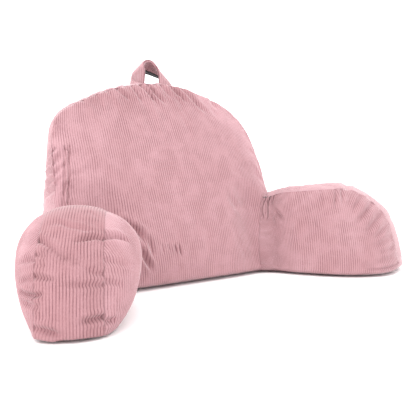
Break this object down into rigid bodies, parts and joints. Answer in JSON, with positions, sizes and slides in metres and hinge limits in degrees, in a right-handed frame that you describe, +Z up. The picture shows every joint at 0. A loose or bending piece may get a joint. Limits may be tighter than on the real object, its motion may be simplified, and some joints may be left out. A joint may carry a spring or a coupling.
{
  "type": "reading pillow with arms",
  "caption": "Bed-rest pillow in wide-wale corduroy with a leaning domed back, splayed D-shaped arm bolsters and a sewn carrying loop.",
  "frame": {"origin": "on the floor, at the middle of the back cushion's flat base", "axes": "+Z up, the sitter faces -Y, +X to the right of a person looking at the front of the pillow"},
  "size_m": [1.01, 0.5226, 0.4979],
  "materials": {
    "corduroy": "dusty-pink corduroy, matt with a soft sheen on the pile",
    "loop_cloth": "the same corduroy folded to a strap, matt",
    "tape": "black woven tape, matt"
  },
  "bodies": {
    "root": {"back": "corduroy", "arm_left": "corduroy", "arm_right": "corduroy", "handle": "loop_cloth", "handle_tape": "tape"}
  },
  "joints": []
}
